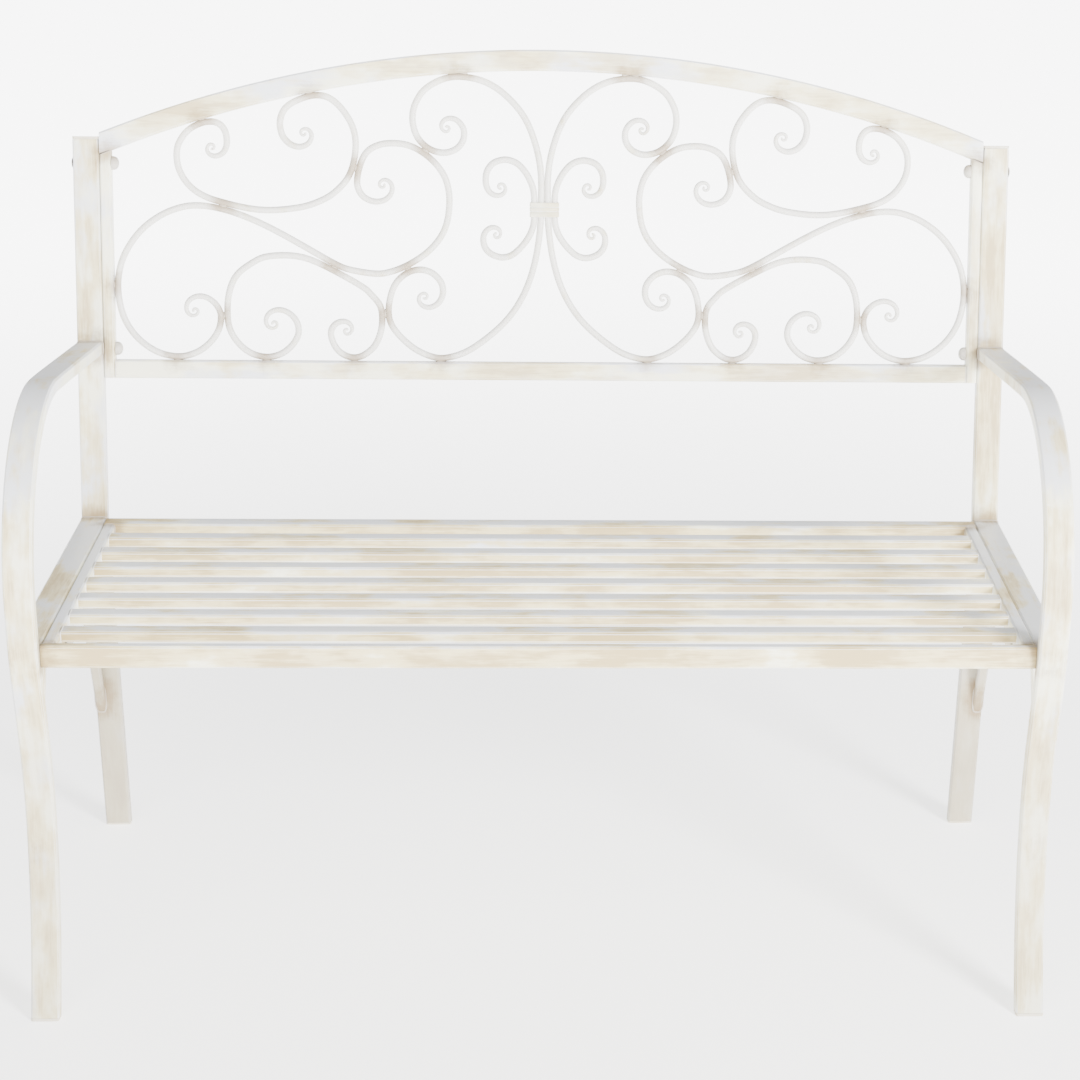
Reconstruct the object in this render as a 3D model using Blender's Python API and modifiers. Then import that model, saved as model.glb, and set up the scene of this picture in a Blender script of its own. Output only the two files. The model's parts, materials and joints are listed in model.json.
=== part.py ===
"""Two-seat steel garden bench.

Two side frames of bent tube carry a bolted, slatted seat panel and a bolted
back panel with scroll work under an arched rail. Metres, +Z up. X is the
width and the front faces -Y. The origin is on the floor, in the middle of
the bench's outline.
"""

import math

import bmesh
import bpy
from mathutils import Vector

# Overall sizes
OVERALL_WIDTH = 1.080  # over the side frames, without the bolt heads
SEAT_HEIGHT = 0.418  # top of the seat
SEAT_DEPTH = 0.425  # front to back over the seat panel

# Tube stock of the side frames
FRAME_FACE = 0.030  # across the tube, along the bench's width
FRAME_THICKNESS = 0.015
FRAME_WALL = 0.0012
CORNER_RADIUS = 0.002  # outer corners of all tubes

# Back post and rear leg, one tube bent at the seat
POST_BEHIND_SEAT = 0.003
POST_RECLINE = 9.4  # degrees from upright
REAR_LEG_SPLAY = 7.8  # degrees from upright
POST_BEND_DROP = 0.018  # the bend's corner below the seat's top
POST_BEND_RADIUS = 0.120

# Arm and front leg, one tube
LEG_AHEAD_OF_SEAT = 0.0175
BOW_ABOVE_SEAT = 0.055  # where the front leg stands furthest forward
WAIST_HEIGHT = 0.210  # where it is furthest back
WAIST_SETBACK = 0.0415
FOOT_FORWARD = 0.0405  # foot ahead of the waist
ARM_RADIUS = 0.1725
ARM_SLOPE = 6.4  # degrees, down towards the back

# Side rail and arched brace, under the arm
SIDE_RAIL_HEIGHT = 0.025
BRACE_WIDTH = 0.012
BRACE_THICKNESS = 0.010
BRACE_FOOT_HEIGHT = 0.178
BRACE_LEAN = 24.0  # degrees from upright
BRACE_RADIUS = 0.080

# Plugs in the open tube ends
PLUG_PLATE = 0.003
PLUG_STEM = 0.016
PLUG_CLEARANCE = 0.0003

# Seat panel
SEAT_RAIL_HEIGHT = 0.024
FRONT_RAIL_DEPTH = 0.012
REAR_RAIL_DEPTH = 0.024
SEAT_SIDE_FACE = 0.013
SEAT_WALL = 0.0012
SLAT_COUNT = 7
SLAT_WIDTH = 0.021
SLAT_HEIGHT = 0.012
SLAT_WALL = 0.0010

# Back panel, measured along the posts from their bend
PANEL_START = 0.180  # lower edge of the bottom rail
PANEL_SIDE_HEIGHT = 0.282  # to the arch's upper edge at the posts
ARCH_RISE = 0.099
POST_TOP_BELOW_ARCH = 0.005  # at the posts
ARCH_FACE = 0.024
BOTTOM_RAIL_FACE = 0.021
UPRIGHT_FACE = 0.013
PANEL_DEPTH = 0.015
PANEL_WALL = 0.0012

# Scroll work
ROD = 0.0076  # rod diameter
ROD_AT_EYE = 0.0038  # diameter where a curl's eye begins
ROD_TIP = 0.0026
EYE_RADIUS = 0.0050  # of the rod's centre line where the eye begins
EYE_END_RADIUS = 0.0016
EYE_TURN = 300.0  # degrees from the eye's start to the rod's tip
CURL_TIGHTENING = 0.36  # how fast a curl winds in to its eye, for each radian
COLLAR_HEIGHT = 0.017
COLLAR_WALL = 0.0011
COLLAR_BOTTOM = 0.502  # as a fraction of the opening's height at the middle

# Bolts
BOLT_DIAMETER = 0.006
BOLT_HEAD_RADIUS = 0.0062
BOLT_HEAD_HEIGHT = 0.0020
SEAT_NUT = (0.0054, 0.005, 0.004)  # radius, straight part, dome above it
BACK_NUT = (0.0078, 0.0022, 0.0060)
NUT_GRIP = 0.006  # length of thread in the nut
HOLE_CLEARANCE = 0.0003
UPPER_BOLT_BELOW_ARCH = 0.035  # below the arch's upper edge at the posts
LOWER_BOLT_ABOVE_RAIL = 0.013
SEAT_BOLT_DROP = 0.018  # below the seat's top
SEAT_BOLT_INSETS = {"front": 0.070, "rear": 0.085}

# Fits and fineness
GAP = 0.0003  # between pieces that touch
BORE_OVERRUN = 0.012
ARC_STEP = 7.0  # degrees of bend for one facet
ARCH_STEP = 2.1
ROD_STEP = 20.0
CURL_STEP = 50.0
TURN_STEPS = 10

# Colour, roughness and metallic value of each finish
CREAM_PAINT = ((0.84, 0.80, 0.70, 1.0), 0.45, 0.0)
PAINTED_STEEL_BOLT = ((0.78, 0.72, 0.60, 1.0), 0.40, 0.2)
PALE_PLASTIC = ((0.70, 0.66, 0.57, 1.0), 0.60, 0.0)

# Sizes that follow from those above
HALF_WIDTH = OVERALL_WIDTH / 2
HALF_CLEAR = HALF_WIDTH - FRAME_FACE  # inner face of the side frames
HALF_PANEL = HALF_CLEAR - GAP
HALF_TUBE = FRAME_THICKNESS / 2
POST_LENGTH = PANEL_START + PANEL_SIDE_HEIGHT - POST_TOP_BELOW_ARCH  # above the bend
SLAT_END = HALF_PANEL - SEAT_SIDE_FACE
PANEL_OPENING = HALF_PANEL - UPRIGHT_FACE
ROD_OFFSET = ROD / 2 + GAP  # rod's centre line from a face that it touches
ROD_PITCH = ROD + GAP  # between two rods that touch


def direction(degrees):
    """Unit vector at this angle in a plane."""
    return Vector((math.cos(math.radians(degrees)), math.sin(math.radians(degrees))))


def square_to(vector):
    """The vector turned a quarter to the left."""
    return Vector((-vector.y, vector.x))


class Path:
    """A plane path of straight runs and tangent arcs."""

    def __init__(self, start, heading, step=ARC_STEP):
        self.points = [Vector(start)]
        self.heading = heading
        self.step = step

    def line(self, length):
        self.points.append(self.points[-1] + direction(self.heading) * length)
        return self

    def arc(self, radius, turn):
        """Bends to the left for a positive turn, in degrees."""
        side = math.copysign(90.0, turn)
        centre = self.points[-1] + direction(self.heading + side) * radius
        steps = max(1, math.ceil(abs(turn) / self.step))
        for step in range(1, steps + 1):
            angle = self.heading - side + turn * step / steps
            self.points.append(centre + direction(angle) * radius)
        self.heading += turn
        return self


# The bench's side view: x is from the seat's front edge backwards, y is height

def post_front_at_seat():
    return Vector((SEAT_DEPTH + POST_BEHIND_SEAT, SEAT_HEIGHT))


def post_bend():
    """Corner where the centre lines of post and rear leg meet."""
    centre = post_front_at_seat() - square_to(direction(90 - POST_RECLINE)) * HALF_TUBE
    drop = centre.y - (SEAT_HEIGHT - POST_BEND_DROP)
    return centre - direction(90 - POST_RECLINE) * drop / math.cos(math.radians(POST_RECLINE))


def post_path(top):
    """Centre line from the floor to this length above the bend."""
    corner = post_bend()
    leg = corner.y / math.cos(math.radians(REAR_LEG_SPLAY))
    foot = corner - direction(90 + REAR_LEG_SPLAY) * leg
    turn = REAR_LEG_SPLAY + POST_RECLINE
    tangent = POST_BEND_RADIUS * math.tan(math.radians(turn / 2))
    path = Path(foot, 90 + REAR_LEG_SPLAY)
    return path.line(leg - tangent).arc(POST_BEND_RADIUS, -turn).line(top - tangent)


def front_leg_lean():
    """Degrees that the front leg leans at the floor."""
    return math.degrees(2 * math.atan(FOOT_FORWARD / WAIST_HEIGHT))


def front_leg_path():
    """Centre line from the floor, over the bow and along the arm to the post."""
    bow = -LEG_AHEAD_OF_SEAT + HALF_TUBE
    rise = SEAT_HEIGHT + BOW_ABOVE_SEAT - WAIST_HEIGHT
    turn = math.degrees(2 * math.atan(WAIST_SETBACK / rise))
    bend = rise / (2 * math.sin(math.radians(turn)))
    lean = front_leg_lean()
    ankle = WAIST_HEIGHT / math.sin(math.radians(lean))
    path = Path((bow + WAIST_SETBACK - FOOT_FORWARD, 0.0), 90 - lean)
    path.arc(ankle, lean).arc(bend, turn).arc(bend, -turn).arc(ARM_RADIUS, -(90 + ARM_SLOPE))
    out = square_to(direction(90 - POST_RECLINE))
    reach = (post_front_at_seat() + out * GAP - path.points[-1]).dot(out)
    return path.line(reach / direction(path.heading).dot(out))


def face_of(points, offset):
    """The tube's face that lies this far to the left of its centre line."""
    face = []
    for index, point in enumerate(points):
        before = points[max(index - 1, 0)]
        after = points[min(index + 1, len(points) - 1)]
        face.append(point + square_to((after - before).normalized()) * offset)
    return face


def crossing(face, height):
    """Point of the face at this height."""
    for low, high in zip(face, face[1:]):
        if min(low.y, high.y) <= height <= max(low.y, high.y) and low.y != high.y:
            return low.lerp(high, (height - low.y) / (high.y - low.y))
    raise ValueError("no part of the face is at this height")


def meeting_plane(face, low, high, side):
    """Point and normal of a plane just clear of a face, on its front (-1) or back (+1)."""
    bottom = crossing(face, low)
    top = crossing(face, high)
    normal = square_to((top - bottom).normalized()) * -side
    bulge = max([0.0] + [(point - bottom).dot(normal) for point in face if low < point.y < high])
    return bottom + normal * (bulge + GAP), normal


def depth_on_plane(plane, height):
    """Where the plane lies, front to back, at this height."""
    point, normal = plane
    return point.x + (point.y - height) * normal.y / normal.x


def depth_centre():
    """Middle of the bench's outline, from the seat's front edge."""
    recline = direction(90 - POST_RECLINE)
    arch_top = post_bend() + recline * (PANEL_START + PANEL_SIDE_HEIGHT + ARCH_RISE)
    post_top = post_bend() + recline * POST_LENGTH
    toe, ankle = front_leg_path().points[:2]
    foot_front = toe.x - HALF_TUBE / (ankle - toe).normalized().y
    heel, knee = post_path(POST_LENGTH).points[:2]
    foot_rear = heel.x + HALF_TUBE / (knee - heel).normalized().y
    top_rear = (arch_top - square_to(recline) * PANEL_DEPTH / 2).x
    post_rear = (post_top - square_to(recline) * HALF_TUBE).x
    return (min(foot_front, -LEG_AHEAD_OF_SEAT) + max(foot_rear, top_rear, post_rear)) / 2


# Making solids

def collection_named(name):
    collection = bpy.data.collections.new(name)
    bpy.context.scene.collection.children.link(collection)
    return collection


def add_object(name, data, collection, frame=None):
    item = bpy.data.objects.new(name, data)
    collection.objects.link(item)
    item.parent = frame
    return item


def finish(item, look):
    """Gives the piece its own material."""
    colour, roughness, metallic = look
    material = bpy.data.materials.new(item.name)
    material.use_nodes = True
    shader = material.node_tree.nodes["Principled BSDF"]
    shader.inputs["Base Color"].default_value = colour
    shader.inputs["Roughness"].default_value = roughness
    shader.inputs["Metallic"].default_value = metallic
    item.data.materials.append(material)


def rounded_rectangle(width, height, radius):
    """Outline, anticlockwise, with a facet at each corner."""
    outline = []
    for turn, (across, up) in enumerate(((1, 1), (-1, 1), (-1, -1), (1, -1))):
        centre = Vector((across * (width / 2 - radius), up * (height / 2 - radius)))
        angles = (0, 90) if radius > 0 else (0,)
        outline += [centre + direction(90 * turn + angle) * radius for angle in angles]
    return outline


def curve_through(name, outlines, closed=False):
    """Flat curve object with a straight-sided spline for each list of points."""
    data = bpy.data.curves.new(name, "CURVE")
    data.dimensions = "2D"
    data.render_resolution_u = 0
    for outline in outlines:
        spline = data.splines.new("POLY")
        spline.points.add(len(outline) - 1)
        for place, point in zip(spline.points, outline):
            place.co = (point[0], point[1], 0.0, 1.0)
        spline.use_cyclic_u = closed
    return bpy.data.objects.new(name, data)


def meshed(curve):
    """Turns a curve object into a closed mesh and removes the curve."""
    bpy.context.scene.collection.objects.link(curve)
    evaluated = curve.evaluated_get(bpy.context.evaluated_depsgraph_get())
    mesh = bpy.data.meshes.new_from_object(evaluated)
    mesh.name = curve.name
    bpy.data.objects.remove(curve)
    shape = bmesh.new()
    shape.from_mesh(mesh)
    bmesh.ops.remove_doubles(shape, verts=shape.verts, dist=0.00001)
    bmesh.ops.recalc_face_normals(shape, faces=shape.faces)
    shape.to_mesh(mesh)
    shape.free()
    return mesh


def swept(name, points, across, deep, corner=0.0):
    """Mesh of a bar along a flat path: across lies in its plane, deep stands square to it."""
    section = curve_through(name + "_section", [rounded_rectangle(across, deep, corner)], closed=True)
    bpy.context.scene.collection.objects.link(section)
    spine = curve_through(name, [points])
    spine.data.bevel_mode = "OBJECT"
    spine.data.bevel_object = section
    spine.data.use_fill_caps = True
    mesh = meshed(spine)
    bpy.data.objects.remove(section)
    return mesh


def trim(mesh, points, normal, reach):
    """Slides the ring at the path's first point along the path onto a plane through that point."""
    end = points[0]
    heading = (points[1] - end).normalized()
    for vertex in mesh.vertices:
        offset = vertex.co.xy - end
        if abs(offset.dot(heading)) < 0.00001 and offset.length < reach:
            vertex.co.xy = vertex.co.xy - heading * (offset.dot(normal) / heading.dot(normal))


def bar(name, frame, points, across, deep, cuts=(None, None), look=CREAM_PAINT):
    """Solid bar. Each cut is the normal of the plane that ends the bar there."""
    mesh = swept(name, points, across, deep, min(CORNER_RADIUS, across / 4, deep / 4))
    for ends, normal in ((points, cuts[0]), (points[::-1], cuts[1])):
        if normal is not None:
            trim(mesh, ends, normal, across)
    item = add_object(name, mesh, PARTS, frame)
    finish(item, look)
    return item


def tube(name, frame, points, across, deep, wall, cuts=(None, None)):
    """Hollow bar that is open at both ends."""
    item = bar(name, frame, points, across, deep, cuts)
    start = points[0] + (points[0] - points[1]).normalized() * BORE_OVERRUN
    end = points[-1] + (points[-1] - points[-2]).normalized() * BORE_OVERRUN
    bore_points = [start] + points[1:-1] + [end]
    mesh = swept(name + "_bore", bore_points, across - 2 * wall, deep - 2 * wall)
    bore = add_cutter(name + "_bore", mesh, frame)
    change(item, "bore", "DIFFERENCE", bore)
    return item


def add_cutter(name, mesh, frame):
    cutter = add_object(name, mesh, CUTTERS, frame)
    cutter.hide_render = True
    cutter.display_type = "WIRE"
    return cutter


def change(item, name, operation, tool):
    """Cuts the tool from the item, or joins it on."""
    modifier = item.modifiers.new(name, "BOOLEAN")
    modifier.operation = operation
    modifier.solver = "EXACT"
    modifier.object = tool


def turned(name, frame, profile, look):
    """Solid of revolution. The profile runs from the axis, down the outside, to the axis."""
    mesh = bpy.data.meshes.new(name)
    edges = [(index, index + 1) for index in range(len(profile) - 1)]
    mesh.from_pydata([(radius, 0.0, height) for radius, height in profile], edges, [])
    item = add_object(name, mesh, PARTS, frame)
    modifier = item.modifiers.new("turn", "SCREW")
    modifier.steps = TURN_STEPS
    modifier.render_steps = TURN_STEPS
    modifier.use_merge_vertices = True
    modifier.merge_threshold = 0.00001
    finish(item, look)
    return item


def dome(radius, base, height):
    """Profile of a dome from its top to its rim."""
    return [(radius * math.sin(math.radians(angle)), base + height * math.cos(math.radians(angle)))
            for angle in (0, 30, 60, 90)]


# Side frames

def end_plug(name, frame, end, into, plane):
    """Plate over an open tube end, with a stem inside the tube. into points along the tube."""
    top = end + into * (PLUG_PLATE / into.dot(plane))
    plate = bar(name, frame, [end, top], FRAME_THICKNESS, FRAME_FACE, (plane, plane), PALE_PLASTIC)
    inside = 2 * (FRAME_WALL + PLUG_CLEARANCE)
    base = end + into * (PLUG_PLATE / 2)
    stem_points = [base, base + into * PLUG_STEM]
    stem = swept(name + "_stem", stem_points, FRAME_THICKNESS - inside, FRAME_FACE - inside)
    trim(stem, stem_points, plane, FRAME_THICKNESS)
    change(plate, "stem", "UNION", add_cutter(name + "_stem", stem, frame))


def side_frame(side, label):
    """One side frame. Its pieces lie in a frame whose x is depth, y is height and z is width."""
    frame = add_object("side_frame_" + label, None, PARTS)
    frame.location = (side * (HALF_WIDTH - FRAME_FACE / 2), -DEPTH_CENTRE, 0.0)
    frame.rotation_euler = (math.pi / 2, 0.0, math.pi / 2)

    floor = Vector((0.0, 1.0))
    recline = direction(90 - POST_RECLINE)
    post = post_path(POST_LENGTH - PLUG_PLATE - GAP).points
    leg = front_leg_path().points
    for name, points in (("rear_foot_plug_", post), ("front_foot_plug_", leg)):
        into = (points[1] - points[0]).normalized()
        end_plug(name + label, frame, points[0], into, floor)
        points[0] = points[0] + into * ((PLUG_PLATE + GAP) / into.dot(floor))
    end_plug("post_cap_" + label, frame, post_bend() + recline * POST_LENGTH, -recline, -recline)

    back_post = tube("back_post_" + label, frame, post, FRAME_THICKNESS, FRAME_FACE, FRAME_WALL,
                     (floor, None))
    tube("front_leg_and_arm_" + label, frame, leg, FRAME_THICKNESS, FRAME_FACE, FRAME_WALL,
         (floor, square_to(recline)))
    rail = side_rail(label, frame, leg, post)
    brace(side, label, frame, leg, post)
    return back_post, rail


def side_rail(label, frame, leg_points, post_points):
    """Rail from the front leg to the post, with its top level with the seat."""
    low = SEAT_HEIGHT - SIDE_RAIL_HEIGHT
    level = SEAT_HEIGHT - SIDE_RAIL_HEIGHT / 2
    front = meeting_plane(face_of(leg_points, -HALF_TUBE), low, SEAT_HEIGHT, 1)
    rear = meeting_plane(face_of(post_points, HALF_TUBE), low, SEAT_HEIGHT, -1)
    points = [Vector((depth_on_plane(plane, level), level)) for plane in (front, rear)]
    return tube("side_rail_" + label, frame, points, SIDE_RAIL_HEIGHT, FRAME_FACE, FRAME_WALL,
                (front[1], rear[1]))


def brace(side, label, frame, leg_points, post_points):
    """Arched bar between the legs, up against the side rail and level with the frame's outside."""
    span = (BRACE_FOOT_HEIGHT - BRACE_THICKNESS, BRACE_FOOT_HEIGHT + BRACE_THICKNESS)
    front = meeting_plane(face_of(leg_points, -HALF_TUBE), *span, 1)
    rear = meeting_plane(face_of(post_points, HALF_TUBE), *span, -1)
    starts = [Vector((depth_on_plane(plane, BRACE_FOOT_HEIGHT), BRACE_FOOT_HEIGHT))
              for plane in (front, rear)]
    top = SEAT_HEIGHT - SIDE_RAIL_HEIGHT - GAP - BRACE_THICKNESS / 2
    climb = (top - BRACE_FOOT_HEIGHT) / math.cos(math.radians(BRACE_LEAN))
    turn = 90 - BRACE_LEAN
    tangent = BRACE_RADIUS * math.tan(math.radians(turn / 2))
    inset = climb * math.sin(math.radians(BRACE_LEAN))
    run = starts[1].x - starts[0].x - 2 * (inset + tangent)
    path = Path(starts[0], 90 - BRACE_LEAN)
    path.line(climb - tangent).arc(BRACE_RADIUS, -turn).line(run)
    path.arc(BRACE_RADIUS, -turn).line(climb - tangent)
    item = bar("arch_brace_" + label, frame, path.points, BRACE_THICKNESS, BRACE_WIDTH,
               (front[1], rear[1]))
    item.location.z = side * (FRAME_FACE - BRACE_WIDTH) / 2


# Seat panel, in a frame with x across, y from the seat's front edge and z from its top

def seat_panel():
    frame = add_object("seat_panel", None, PARTS)
    frame.location = (0.0, -DEPTH_CENTRE, SEAT_HEIGHT)
    rails = {"front_rail": (FRONT_RAIL_DEPTH / 2, FRONT_RAIL_DEPTH),
             "rear_rail": (SEAT_DEPTH - REAR_RAIL_DEPTH / 2, REAR_RAIL_DEPTH)}
    for name, (depth, width) in rails.items():
        points = [Vector((-HALF_PANEL, depth)), Vector((HALF_PANEL, depth))]
        cross_tube(name, frame, points, width, SEAT_RAIL_HEIGHT, SEAT_WALL)
    sides = {}
    for side, label in SIDES:
        across = side * (HALF_PANEL - SEAT_SIDE_FACE / 2)
        points = [Vector((across, FRONT_RAIL_DEPTH + GAP)),
                  Vector((across, SEAT_DEPTH - REAR_RAIL_DEPTH - GAP))]
        sides[side] = cross_tube("seat_side_rail_" + label, frame, points, SEAT_SIDE_FACE,
                                 SEAT_RAIL_HEIGHT, SEAT_WALL)
    clear = SEAT_DEPTH - REAR_RAIL_DEPTH - FRONT_RAIL_DEPTH - SLAT_COUNT * SLAT_WIDTH
    space = clear / (SLAT_COUNT + 1)
    for index in range(SLAT_COUNT):
        depth = FRONT_RAIL_DEPTH + space + SLAT_WIDTH / 2 + index * (space + SLAT_WIDTH)
        reach = SLAT_END - GAP
        points = [Vector((-reach, depth)), Vector((reach, depth))]
        cross_tube("seat_slat_%d" % (index + 1), frame, points, SLAT_WIDTH, SLAT_HEIGHT, SLAT_WALL)
    for side, label in SIDES:
        depths = {"front": SEAT_BOLT_INSETS["front"], "rear": SEAT_DEPTH - SEAT_BOLT_INSETS["rear"]}
        for place, depth in depths.items():
            bolted_joint("seat_" + place + "_" + label, frame, side, SLAT_END,
                         (depth, -SEAT_BOLT_DROP), (SIDE_RAILS[side], sides[side]), SEAT_NUT)


def cross_tube(name, frame, points, width, height, wall):
    """Seat tube with its top at the frame's zero height."""
    item = tube(name, frame, points, width, height, wall)
    item.location.z = -height / 2
    bore = item.modifiers["bore"].object
    bore.location.z = -height / 2
    return item


def bolted_joint(name, frame, side, inner, place, plies, nut_sizes):
    """Bolt from the outside of the side frame, through the plies, into a domed nut."""
    nut_radius, shoulder, rise = nut_sizes
    length = HALF_WIDTH + 2 * GAP - inner + NUT_GRIP
    radius = BOLT_DIAMETER / 2
    bolt = turned("bolt_" + name, frame,
                  dome(BOLT_HEAD_RADIUS, 0.0, BOLT_HEAD_HEIGHT)
                  + [(radius, 0.0), (radius, -length), (0.0, -length)], PAINTED_STEEL_BOLT)
    bore = radius + HOLE_CLEARANCE
    nut = turned("cap_nut_" + name, frame,
                 dome(nut_radius, shoulder, rise)
                 + [(nut_radius, 0.0), (bore, 0.0), (bore, NUT_GRIP + GAP), (0.0, NUT_GRIP + GAP)],
                 PAINTED_STEEL_BOLT)
    bolt.location = (side * (HALF_WIDTH + GAP), *place)
    bolt.rotation_euler = (0.0, side * math.pi / 2, 0.0)
    nut.location = (side * (inner - GAP), *place)
    nut.rotation_euler = (0.0, -side * math.pi / 2, 0.0)
    shape = bmesh.new()
    bmesh.ops.create_cone(shape, cap_ends=True, segments=TURN_STEPS, radius1=bore, radius2=bore,
                          depth=HALF_WIDTH - inner + 2 * BORE_OVERRUN)
    mesh = bpy.data.meshes.new("hole_" + name)
    shape.to_mesh(mesh)
    shape.free()
    hole = add_cutter("hole_" + name, mesh, frame)
    hole.location = (side * (HALF_WIDTH + inner) / 2, *place)
    hole.rotation_euler = bolt.rotation_euler
    for ply in plies:
        change(ply, "hole_" + name, "DIFFERENCE", hole)


# Back panel, in a frame with x across, y up along the posts and z to the front

def arch_radius():
    """Radius of the arched rail's upper edge."""
    return (HALF_PANEL ** 2 + ARCH_RISE ** 2) / (2 * ARCH_RISE)


def arch_centre():
    return PANEL_START + PANEL_SIDE_HEIGHT + ARCH_RISE - arch_radius()


def arch_underside(across):
    """Height of the arched rail's lower edge, and its slope in degrees."""
    radius = arch_radius() - ARCH_FACE
    return (arch_centre() + math.sqrt(radius ** 2 - across ** 2),
            -math.degrees(math.asin(across / radius)))


def back_panel():
    frame = add_object("back_panel", None, PARTS)
    corner = post_bend()
    frame.location = (0.0, corner.x - DEPTH_CENTRE, corner.y)
    frame.rotation_euler = (math.radians(90 - POST_RECLINE), 0.0, 0.0)

    radius = arch_radius() - ARCH_FACE / 2
    half_turn = math.degrees(math.asin(HALF_PANEL / radius))
    start = Vector((-HALF_PANEL, arch_centre() + radius * math.cos(math.radians(half_turn))))
    arch = Path(start, half_turn, ARCH_STEP).arc(radius, -2 * half_turn)
    upright_cut = Vector((1.0, 0.0))
    tube("arch_rail", frame, arch.points, ARCH_FACE, PANEL_DEPTH, PANEL_WALL,
         (upright_cut, upright_cut))

    rail_level = PANEL_START + BOTTOM_RAIL_FACE / 2
    reach = PANEL_OPENING - GAP
    tube("bottom_rail", frame, [Vector((-reach, rail_level)), Vector((reach, rail_level))],
         BOTTOM_RAIL_FACE, PANEL_DEPTH, PANEL_WALL)

    bolt_heights = {"upper": PANEL_START + PANEL_SIDE_HEIGHT - UPPER_BOLT_BELOW_ARCH,
                    "lower": PANEL_START + BOTTOM_RAIL_FACE + LOWER_BOLT_ABOVE_RAIL}
    for side, label in SIDES:
        across = side * (HALF_PANEL - UPRIGHT_FACE / 2)
        height, slope = arch_underside(across)
        top = height - GAP / math.cos(math.radians(slope))
        upright = tube("upright_" + label, frame, [Vector((across, PANEL_START)), Vector((across, top))],
                       UPRIGHT_FACE, PANEL_DEPTH, PANEL_WALL, (None, direction(90 + slope)))
        for place, level in bolt_heights.items():
            bolted_joint("back_" + place + "_" + label, frame, side, PANEL_OPENING, (level, 0.0),
                         (BACK_POSTS[side], upright), BACK_NUT)
    scroll_work(frame)


# Scroll work of the right half: u runs from the middle to the upright and v
# from the bottom rail to the arch, both to where a rod's centre line touches

def panel_point(u, v):
    across = u * (PANEL_OPENING - ROD_OFFSET)
    underside, slope = arch_underside(across)
    low = PANEL_START + BOTTOM_RAIL_FACE + ROD_OFFSET
    high = underside - ROD_OFFSET / math.cos(math.radians(slope))
    return Vector((across, low + v * (high - low)))


def free(u, v):
    """Knot that the rod passes through in any direction."""
    return panel_point(u, v), None


def on_rail(u):
    return panel_point(u, 0.0), 0.0


def on_arch(u):
    point = panel_point(u, 1.0)
    return point, arch_underside(point.x)[1]


def on_upright(v):
    return panel_point(1.0, v), 90.0


def in_collar(lane, v):
    """Knot inside the collar. Lane 0 is next to the middle."""
    return Vector(((lane + 0.5) * ROD_PITCH, panel_point(0.0, v).y)), 90.0


# Where two scrolls touch: u, v and the direction of both rods there
TALL_AND_S_UPPER = (0.283, 0.753, 35.0)
TALL_AND_S_LOWER = (0.326, 0.322, -27.0)
TALL_AND_LOWER = (0.375, 0.164, 90.0)
S_AND_LOWER_SIDE = (0.753, 0.164, 90.0)
S_AND_LOWER_TOP = (0.513, 0.361, 24.0)
S_AND_UPPER_TOP = (0.752, 0.633, 12.0)
S_AND_UPPER_SIDE = (0.442, 0.706, 105.0)


def beside(contact, side):
    """Knot half a rod to the left (+1) or right (-1) of a contact."""
    u, v, heading = contact
    return panel_point(u, v) + square_to(direction(heading)) * side * ROD_PITCH / 2, heading


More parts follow.
